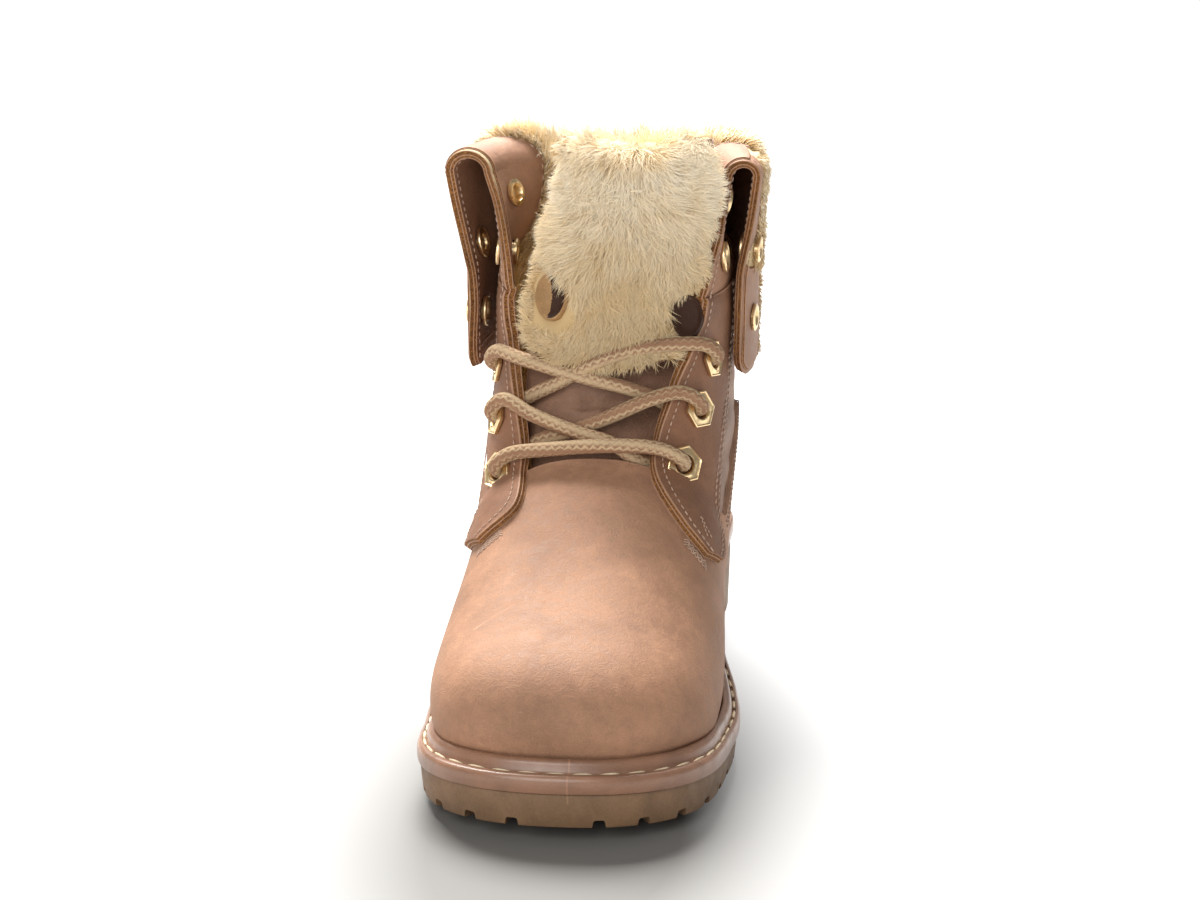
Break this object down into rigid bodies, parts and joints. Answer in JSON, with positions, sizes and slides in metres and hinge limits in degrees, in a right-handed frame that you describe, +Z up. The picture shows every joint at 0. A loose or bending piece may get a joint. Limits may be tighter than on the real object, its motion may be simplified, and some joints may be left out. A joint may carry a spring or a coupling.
{
  "type": "ankle boot",
  "caption": "Lace-up ankle boot with a fur-lined fold-down collar, furred tongue, storm welt and lugged rubber sole.",
  "frame": {"origin": "on the floor, under the middle of the boot's box", "axes": "+Z up; the toe points towards -Y; +X is the boot's medial side, towards the other foot"},
  "size_m": [0.1128, 0.2681, 0.1951],
  "materials": {
    "nubuck": "soft brushed nubuck, dusty rose",
    "fur": "deep cream pile",
    "welt": "satin, dusty rose, stitched",
    "rubber": "matte tan crepe",
    "brass": "polished",
    "lace": "round braid, beige and pink tan"
  },
  "bodies": {
    "root": {"outsole": "rubber", "welt": "welt", "insole": "fur", "upper": "nubuck", "shaft": "nubuck", "tongue": "fur", "lace": "lace", "hex_eyelet_lateral_1": "brass", "hex_eyelet_lateral_2": "brass", "hex_eyelet_lateral_3": "brass", "hex_eyelet_medial_1": "brass", "hex_eyelet_medial_2": "brass", "hex_eyelet_medial_3": "brass", "shaft_eyelet_lateral_1": "brass", "shaft_eyelet_lateral_2": "brass", "shaft_eyelet_medial_1": "brass", "shaft_eyelet_medial_2": "brass", "cuff_eyelet_lateral_1": "brass", "cuff_eyelet_lateral_2": "brass", "cuff_eyelet_medial_1": "brass", "cuff_eyelet_medial_2": "brass"}
  },
  "joints": []
}
